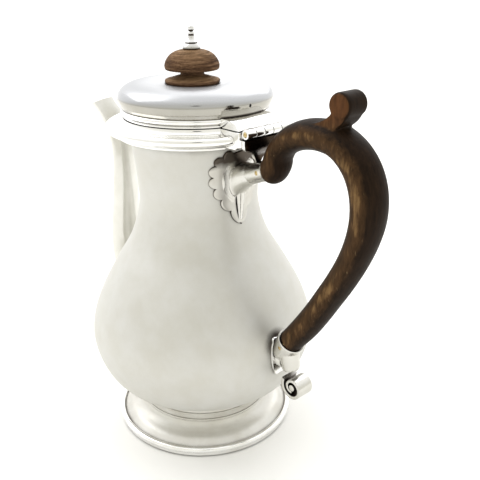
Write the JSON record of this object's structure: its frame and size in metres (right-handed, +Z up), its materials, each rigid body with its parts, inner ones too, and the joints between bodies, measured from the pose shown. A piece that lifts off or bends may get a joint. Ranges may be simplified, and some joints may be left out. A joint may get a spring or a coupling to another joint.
{
  "type": "coffee pot",
  "caption": "Baluster coffee pot with a hinged domed lid, turned knob, swan-neck spout and a wooden scroll handle between two sockets.",
  "frame": {"origin": "centre of the foot's resting plane, on the body's axis", "axes": "+Z up along the body's axis, +X towards the handle, spout towards -X"},
  "size_m": [0.2386, 0.1348, 0.2404],
  "materials": {
    "silver": "hand-polished sterling silver",
    "brass": "dull brass",
    "handle_wood": "old dark fruitwood, worn paler along its edges",
    "knob_wood": "turned fruitwood, unvarnished"
  },
  "bodies": {
    "pot": {"body": "silver", "foot": "silver", "foot_wire": "silver", "collar": "silver", "spout": "silver", "hinge_body_leaf": "silver", "hinge_pin": "brass", "hinge_bracket": "silver", "upper_plate": "silver", "upper_socket": "silver", "upper_rivet": "brass", "handle": "handle_wood", "lower_plate": "silver", "lower_socket": "silver", "lower_rivet": "brass", "scroll_terminal": "silver"},
    "lid": {"lid": "silver", "lid_wire": "silver", "lid_flange": "silver", "knob": "knob_wood", "finial": "silver", "knob_washer": "silver", "knob_nut": "brass", "hinge_lid_leaf": "silver"}
  },
  "joints": [
    {"name": "lid_hinge", "type": "hinge", "parent": "pot", "child": "lid", "pos_m": [0.0548, 0, 0.1918], "axis": [0, 1, 0], "range_deg": [0, 95]}
  ]
}
